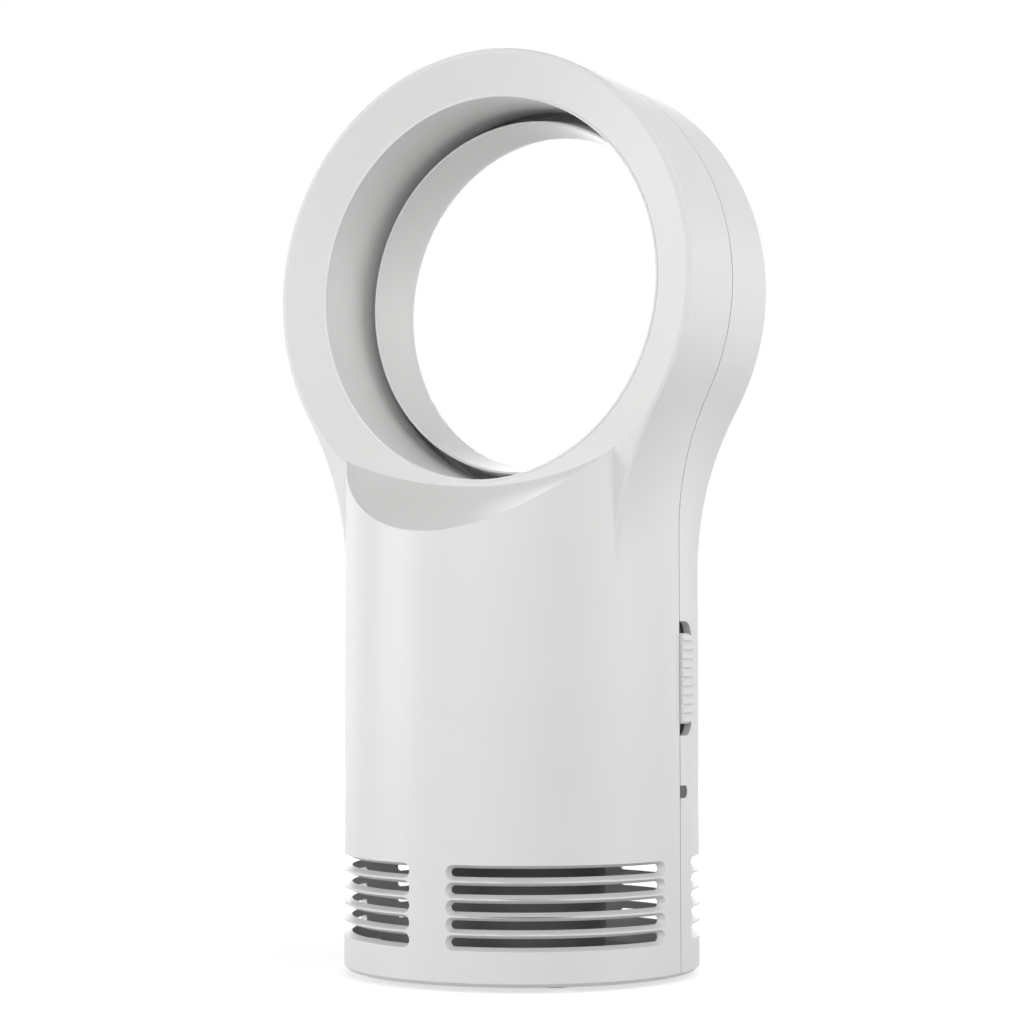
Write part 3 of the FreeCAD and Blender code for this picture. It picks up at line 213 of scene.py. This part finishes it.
# %% Lamps
AIM = Vector((0, 0, 0.12))
LAMP_DISTANCE = 1.4
LAMP_SIZE = 0.7
LAMPS = {
    "left": (-55, 8, 8.2),
    "far_left": (-110, 8, 1.8),
    "front": (0, 8, 5.2),
    "front_right": (30, 8, 3.6),
    "right": (95, 8, 4.6),
    "back_right": (120, 8, 1.6),
    "back": (150, 8, 2.2),
    "behind_left": (-150, 14, 6.4),
    "high_right": (60, 45, 3.2),
    "high_back_right": (120, 45, 1.8),
    "top": (0, 85, 1.8),
}


def soft_box(name, around, rise, power):
    """Square soft light at a direction from the heater, turned to face it."""
    level = math.cos(math.radians(rise))
    away = Vector((math.sin(math.radians(around)) * level, -math.cos(math.radians(around)) * level,
                   math.sin(math.radians(rise))))
    data = bpy.data.lights.new(name, "AREA")
    data.size = LAMP_SIZE
    data.energy = power
    made = bpy.data.objects.new(name, data)
    made.location = AIM + away * LAMP_DISTANCE
    made.rotation_euler = away.to_track_quat("Z", "Y").to_euler()
    scene.collection.objects.link(made)


for name, (around, rise, power) in LAMPS.items():
    soft_box(name, around, rise, power)

# %% [markdown]
# ## Moulded plastics
#
# Most pieces are injection moulded: hot plastic fills a steel mould and takes on the mould's own
# surface. A flat colour would look like paper, and a picture of grain would need a file. Two noises
# make the surface instead, because they have no seam and fit every piece. A fine one is the grain of
# the mould, as a bump. A broad one shifts the tone by about a hundredth, as thick and thin walls do.
# Real mould grain is under 0.1 mm, too fine to show here, so it is drawn 0.4 to 0.8 mm wide.

# %% A moulded plastic
TONE_DRIFT = 0.012
DRIFT_WIDTH = 40 * MM
DRIFT_DETAIL = 2.0
DRIFT_STOPS = (0.3, 0.7)
GRAIN_HEIGHT = 0.1 * MM
GRAIN_DETAIL = 3.0
ABS_IOR = 1.53


def moulded(name, hex_colour, roughness, grain_mm, grain_depth, ior=ABS_IOR):
    """Moulded plastic: even colour with a slight drift, and the fine grain of its mould."""
    material, tree, output = new_material(name)
    place = add(tree, "TexCoord").outputs["Object"]
    broad = add(tree, "TexNoise", {"Vector": place, "Scale": 1 / DRIFT_WIDTH, "Detail": DRIFT_DETAIL})
    ramp = add(tree, "ValToRGB", {"Fac": broad.outputs["Fac"]})
    for stop, position, side in zip(ramp.color_ramp.elements, DRIFT_STOPS, (-1, 1)):
        stop.position = position
        stop.color = tuple(c * (1 + side * TONE_DRIFT) for c in linear(hex_colour)[:3]) + (1.0,)
    grain = add(tree, "TexNoise", {"Vector": place, "Scale": 1 / (grain_mm * MM), "Detail": GRAIN_DETAIL})
    bump = add(tree, "Bump", {"Height": grain.outputs["Fac"], "Strength": grain_depth,
                              "Distance": GRAIN_HEIGHT})
    shader = add(tree, "BsdfPrincipled", {
        "Base Color": ramp.outputs["Color"], "Roughness": roughness, "IOR": ior,
        "Normal": bump.outputs["Normal"],
    })
    tree.links.new(shader.outputs[0], output.inputs["Surface"])
    return material


finishes = {}
print("a wall's tone drifts by", TONE_DRIFT, "over", DRIFT_WIDTH, "m")

# %% [markdown]
# ## ABS
#
# Shells, knob, base and fan are ABS, a tough plastic that takes colour well. Paint could give the same
# white, but the real shell is coloured right through and its sheen comes from the mould, so colour and
# grain alone make the finish.

# %% ABS
# Spark erosion leaves fine even pits in the mould: a soft satin sheen without streaks.
finishes["shell_abs"] = moulded(
    "white_abs_spark_eroded", "e2e2e1", roughness=0.42, grain_mm=0.6, grain_depth=0.10)
# A plain mould: a duller, slightly darker grey that stays in the shell's shadow.
finishes["base_abs"] = moulded(
    "grey_abs_plain", "c8c9ca", roughness=0.5, grain_mm=0.6, grain_depth=0.10)
# A smoother mould, for clean air flow: the edges of the blades catch small clear highlights.
finishes["fan_plastic"] = moulded(
    "grey_abs_fan", "5a5c5e", roughness=0.4, grain_mm=0.5, grain_depth=0.08)
print("ABS finishes", len(finishes))

# %% [markdown]
# ## Plastics near heat and current
#
# Inside the column, plastics are chosen for heat, wear and insulation, and their looks follow from
# that. They could all be one black, but through a gap or in an opened heater each catches light in its
# own way, so each has its own colour, gloss and refractive index.

# %% Plastics near heat and current
PHENOLIC_IOR = 1.6
ACETAL_IOR = 1.48
EPOXY_IOR = 1.55

# Dyed polyamide: deep black with a broad, weak sheen.
finishes["duct_plastic"] = moulded(
    "black_polyamide", "2b2b2d", roughness=0.5, grain_mm=0.5, grain_depth=0.15)
# Phenolic is hard and glassy: black with a tighter sheen than polyamide.
finishes["motor_plastic"] = moulded(
    "black_phenolic_cap", "262626", roughness=0.4, grain_mm=0.5, grain_depth=0.10, ior=PHENOLIC_IOR)
# Glass fibres reach the surface: a dry, slightly rough brownish grey.
finishes["heat_plastic"] = moulded(
    "glass_filled_polyamide", "3a3735", roughness=0.6, grain_mm=0.4, grain_depth=0.30)
# Pressed in a polished mould: brown-black with a small clear highlight.
finishes["thermostat_resin"] = moulded(
    "pressed_phenolic", "24211f", roughness=0.3, grain_mm=0.4, grain_depth=0.10, ior=PHENOLIC_IOR)
# Lacquer over a glass laminate: an even deep green, smooth enough to shine.
finishes["board_laminate"] = moulded(
    "green_solder_mask", "1f5a36", roughness=0.3, grain_mm=0.8, grain_depth=0.05, ior=EPOXY_IOR)
# Acetal is waxy and slides well: dark grey with a soft, slippery sheen.
finishes["stem_plastic"] = moulded(
    "dark_acetal", "3a3a3a", roughness=0.35, grain_mm=0.4, grain_depth=0.08, ior=ACETAL_IOR)
# Undyed polyamide: a milky, slightly yellow white.
finishes["terminal_plastic"] = moulded(
    "natural_polyamide", "d9d8cf", roughness=0.45, grain_mm=0.5, grain_depth=0.10)
print("plastic finishes", len(finishes))

# %% [markdown]
# ## Lamp and lens
#
# Below the knob a small lamp stands behind a smoked lens that looks black while it is off. The lens
# could be clear and tinted, but then the board behind it would show. A nearly black frosted face gives
# the dark, soft patch that is seen.

# %% Lamp and lens
ACRYLIC_IOR = 1.49

# Cast in a smooth cup: milky and glossy.
finishes["lamp_epoxy"] = moulded(
    "cast_epoxy", "d8dad6", roughness=0.15, grain_mm=0.8, grain_depth=0.02, ior=EPOXY_IOR)
# Smoked acrylic with a blasted face: nearly black, and it mirrors nothing.
finishes["lens_acrylic"] = moulded(
    "smoked_acrylic_frosted", "0e0e10", roughness=0.40, grain_mm=0.8, grain_depth=0.02, ior=ACRYLIC_IOR)
print("lamp and lens", finishes["lamp_epoxy"].name, finishes["lens_acrylic"].name)

# %% [markdown]
# ## Foam and rubber
#
# The filter is cut foam, and the feet and the cord gland are moulded rubber. Velvet-like sheen is one
# way to show a soft surface. Here a high roughness and a deep grain are enough, since little light
# reaches these pieces.

# %% Foam and rubber
FOAM_IOR = 1.5
RUBBER_IOR = 1.52

# Cut open cells: a dull mid grey with small dark pits.
finishes["filter_foam"] = moulded(
    "grey_foam", "747474", roughness=0.9, grain_mm=0.7, grain_depth=0.8, ior=FOAM_IOR)
# Moulded rubber: a dull black whose edge turns grey in the light.
finishes["foot_rubber"] = moulded(
    "black_rubber", "222222", roughness=0.75, grain_mm=0.4, grain_depth=0.35, ior=RUBBER_IOR)
# Rubber with a white filler: as pale as the shell, and duller.
finishes["gland_rubber"] = moulded(
    "white_rubber", "dededc", roughness=0.65, grain_mm=0.4, grain_depth=0.25, ior=RUBBER_IOR)
print("finishes so far", len(finishes))

# %% [markdown]
# ## Metals
#
# Screws and the motor's case are zinc plated, the tabs are tinned brass and the heater is rolled
# aluminium. Rolling and drawing leave fine parallel lines. An anisotropic shader could show them, but a
# noise that is stretched along one axis also breaks up the gloss, as worn tools do. Real lines are
# about 0.02 mm apart, too fine to show here, so they are drawn 0.3 or 0.4 mm wide.

# %% A drawn metal
LINE_STRETCH = 12.0
LINE_DETAIL = 2.0
LINE_STRENGTH = 0.12
LINE_HEIGHT = 0.05 * MM
GLOSS_SWING = 0.25


def drawn_metal(name, hex_colour, roughness, line_mm):
    """Metal with fine lines along Z from rolling or drawing."""
    material, tree, output = new_material(name)
    place = add(tree, "TexCoord").outputs["Object"]
    along = add(tree, "Mapping", {"Vector": place, "Scale": (1.0, 1.0, 1.0 / LINE_STRETCH)})
    lines = add(tree, "TexNoise", {"Vector": along.outputs[0], "Scale": 1 / (line_mm * MM),
                                   "Detail": LINE_DETAIL})
    rough = add(tree, "MapRange", {"Value": lines.outputs["Fac"], "To Min": roughness * (1 - GLOSS_SWING),
                                   "To Max": roughness * (1 + GLOSS_SWING)})
    bump = add(tree, "Bump", {"Height": lines.outputs["Fac"], "Strength": LINE_STRENGTH,
                              "Distance": LINE_HEIGHT})
    shader = add(tree, "BsdfPrincipled", {
        "Base Color": linear(hex_colour), "Metallic": 1.0, "Roughness": rough.outputs[0],
        "Normal": bump.outputs["Normal"],
    })
    tree.links.new(shader.outputs[0], output.inputs["Surface"])
    return material


print("lines are", LINE_STRETCH, "times as long as wide")

# %% Metals
# Bright zinc: cool grey with a soft sparkle on the screw heads.
finishes["screw_steel"] = drawn_metal("zinc_plated_steel", "b9bbbd", roughness=0.32, line_mm=0.3)
# Deep drawn, then plated: cool grey with fine upright lines.
finishes["motor_steel"] = drawn_metal("zinc_plated_can", "c2c4c6", roughness=0.3, line_mm=0.4)
# A thin coat of tin over brass: pale straw yellow.
finishes["tab_brass"] = drawn_metal("tinned_brass", "cdbb8c", roughness=0.3, line_mm=0.4)
# Bare rolled strip: the brightest and whitest metal here.
finishes["heater_aluminium"] = drawn_metal("rolled_aluminium", "d5d6d8", roughness=0.35, line_mm=0.3)
# Tin plate: a slightly warm grey.
finishes["fuse_metal"] = drawn_metal("tinned_case", "c9c6bf", roughness=0.3, line_mm=0.4)
# Nickel: a little yellower than the zinc beside it.
finishes["switch_metal"] = drawn_metal("nickel_plated_frame", "c4c2bd", roughness=0.3, line_mm=0.4)
print("finishes", len(finishes))

# %% [markdown]
# ## Dress the solids
#
# The record names a material slot for every solid of the heater. A finish could be set on each object
# by hand, but one loop over the record dresses them all, and no solid can be forgotten.

# %% Dress the solids
for entry in frame["record"]["subparts"]:
    mesh = nodes[entry["node"]].data
    mesh.materials.clear()
    mesh.materials.append(finishes[entry["material_slot"]])

# %% [markdown]
# ## Lips along the moulded edges
#
# Where two faces of a mould meet, the moulding has a slightly raised, rounded lip that shows as a thin
# light or dark line: round the mouth, on the rim of the throat and along the lower edge of the two
# scoops. A bevel is the usual way, but the solids' own meshes stay as they are. So each lip is a thin
# round bead that is swept along its edge and half sunk in the shell.

# %% A piece and a lip
LIP_SIDES = 10
RING_AXIS = Vector((0, 1, 0))


def piece(name, points, faces, slot):
    """Smooth mesh piece of the housing with the finish of a slot."""
    mesh = bpy.data.meshes.new(name)
    mesh.from_pydata(points, [], faces)
    mesh.polygons.foreach_set("use_smooth", [True] * len(faces))
    mesh.materials.append(finishes[slot])
    made = bpy.data.objects.new(name, mesh)
    scene.collection.objects.link(made)
    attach(made, "housing")
    return made


def lip(name, line, radius, closed):
    """Round bead along a line of points; an open line gets its two ends closed."""
    points = []
    for step, place in enumerate(line):
        before = line[step - 1] if closed or step else place
        after = line[(step + 1) % len(line)] if closed or step + 1 < len(line) else place
        along = (after - before).normalized()
        side = along.cross(RING_AXIS).normalized()
        rise = side.cross(along)
        for turn in range(LIP_SIDES):
            angle = 2 * math.pi * turn / LIP_SIDES
            points.append(place + radius * (math.cos(angle) * side + math.sin(angle) * rise))
    faces = []
    for step in range(len(line) if closed else len(line) - 1):
        here = step * LIP_SIDES
        there = (step + 1) % len(line) * LIP_SIDES
        for turn in range(LIP_SIDES):
            beside = (turn + 1) % LIP_SIDES
            faces.append((here + turn, there + turn, there + beside, here + beside))
    if not closed:
        faces.append(tuple(range(LIP_SIDES)))
        faces.append(tuple(reversed(range(len(points) - LIP_SIDES, len(points)))))
    return piece(name, points, faces, "shell_abs")


print("a lip has", LIP_SIDES, "sides")

# %% Lips of the ring
RING_STEPS = 160
RING_CENTRE = Vector((0, 0, 191.4 * MM))
MOUTH_RADIUS = 54.15 * MM
MOUTH_PLACE = -20.3 * MM
MOUTH_LIP = 0.42 * MM
RIM_RADIUS = 50.6 * MM
RIM_PLACE = 0.8 * MM
RIM_LIP = 0.40 * MM


def ring_line(radius, place):
    """Points round the ring's axis."""
    turns = [2 * math.pi * step / RING_STEPS for step in range(RING_STEPS)]
    return [RING_CENTRE + Vector((radius * math.cos(turn), place, radius * math.sin(turn)))
            for turn in turns]


mouth_lip = lip("mouth_lip", ring_line(MOUTH_RADIUS, MOUTH_PLACE), MOUTH_LIP, closed=True)
throat_lip = lip("throat_lip", ring_line(RIM_RADIUS, RIM_PLACE), RIM_LIP, closed=True)
print("ring lips", mouth_lip.name, throat_lip.name)

# %% [markdown]
# ## Lips of the scoops
#
# Front and back of the column are scooped out below the ring by a hollow that slants down and outwards.
# Its lower edge could be read from the mesh, but the two shapes that meet there are simple: a hollow of
# one radius and a round column. So the height of each point follows from its place across the column.
# The bead lies inside the column's radius and doesn't stand proud of it.

# %% Lips of the scoops
SCOOP_STEPS = 80
SCOOP_LIP = 0.28 * MM
COLUMN_RADIUS = 50.0 * MM
RING_HALF_DEPTH = 25.0 * MM
SCOOP_RADIUS = 108.0 * MM
SCOOP_TOP = 133.7 * MM
SCOOP_DROP = 12.1 * MM
SCOOP_SLOPE = SCOOP_DROP / (COLUMN_RADIUS - RING_HALF_DEPTH)


def scoop_line(way):
    """Lower edge of the front (-1) or back (+1) scoop: the slanted hollow meets the round column."""
    reach = math.sqrt(COLUMN_RADIUS ** 2 - RING_HALF_DEPTH ** 2)
    stretch = math.sqrt(1 + SCOOP_SLOPE ** 2)
    line = []
    for step in range(SCOOP_STEPS + 1):
        x = reach * (2 * step / SCOOP_STEPS - 1)
        out = math.sqrt((COLUMN_RADIUS - SCOOP_LIP) ** 2 - x ** 2)
        sag = stretch * (SCOOP_RADIUS - math.sqrt(SCOOP_RADIUS ** 2 - x ** 2))
        line.append(Vector((x, way * out, SCOOP_TOP + SCOOP_SLOPE * (RING_HALF_DEPTH - out) + sag)))
    return line


front_scoop_lip = lip("front_scoop_lip", scoop_line(-1), SCOOP_LIP, closed=False)
back_scoop_lip = lip("back_scoop_lip", scoop_line(1), SCOOP_LIP, closed=False)
print("scoop lips", front_scoop_lip.name, back_scoop_lip.name)

# %% [markdown]
# ## Foam sleeve
#
# Behind the slots stands a sleeve of open-cell foam that keeps dust out of the fan. It is cut from a
# sheet and bent round, so it has a soft, pitted face. A bump could hint at the pits, but they would be
# gone at the outline, so smooth noise presses them into a fine grid. Real cells are about 0.6 mm, too
# fine to show here, so the pits are 2 mm wide.

# %% Foam points
FOAM_STEPS = 120
FOAM_ROWS = 40
FOAM_OUTER = 23.7 * MM
FOAM_INNER = 21.6 * MM
PIT_DEPTH = 0.7 * MM
PIT_WIDTH = 2.0 * MM

foam_low, foam_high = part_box("intake_filter")
turns = [2 * math.pi * step / FOAM_STEPS for step in range(FOAM_STEPS)]
outward = [Vector((math.cos(turn), math.sin(turn), 0)) for turn in turns]
points = []
for row in range(FOAM_ROWS + 1):
    height = Vector((0, 0, foam_low[2] + (foam_high[2] - foam_low[2]) * row / FOAM_ROWS))
    for out in outward:
        pit = max(0.0, noise.noise((out * FOAM_OUTER + height) / PIT_WIDTH))
        points.append(out * (FOAM_OUTER - PIT_DEPTH * pit) + height)
for corner in (foam_high, foam_low):
    points.extend(out * FOAM_INNER + Vector((0, 0, corner[2])) for out in outward)
print("foam points", len(points))

# %% Foam faces
rings = len(points) // FOAM_STEPS
faces = []
for ring in range(rings):
    here = ring * FOAM_STEPS
    there = (ring + 1) % rings * FOAM_STEPS
    for step in range(FOAM_STEPS):
        beside = (step + 1) % FOAM_STEPS
        faces.append((here + step, here + beside, there + beside, there + step))
foam_sleeve = piece("foam_sleeve", points, faces, "filter_foam")
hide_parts("intake_filter")
print("foam faces", len(faces))
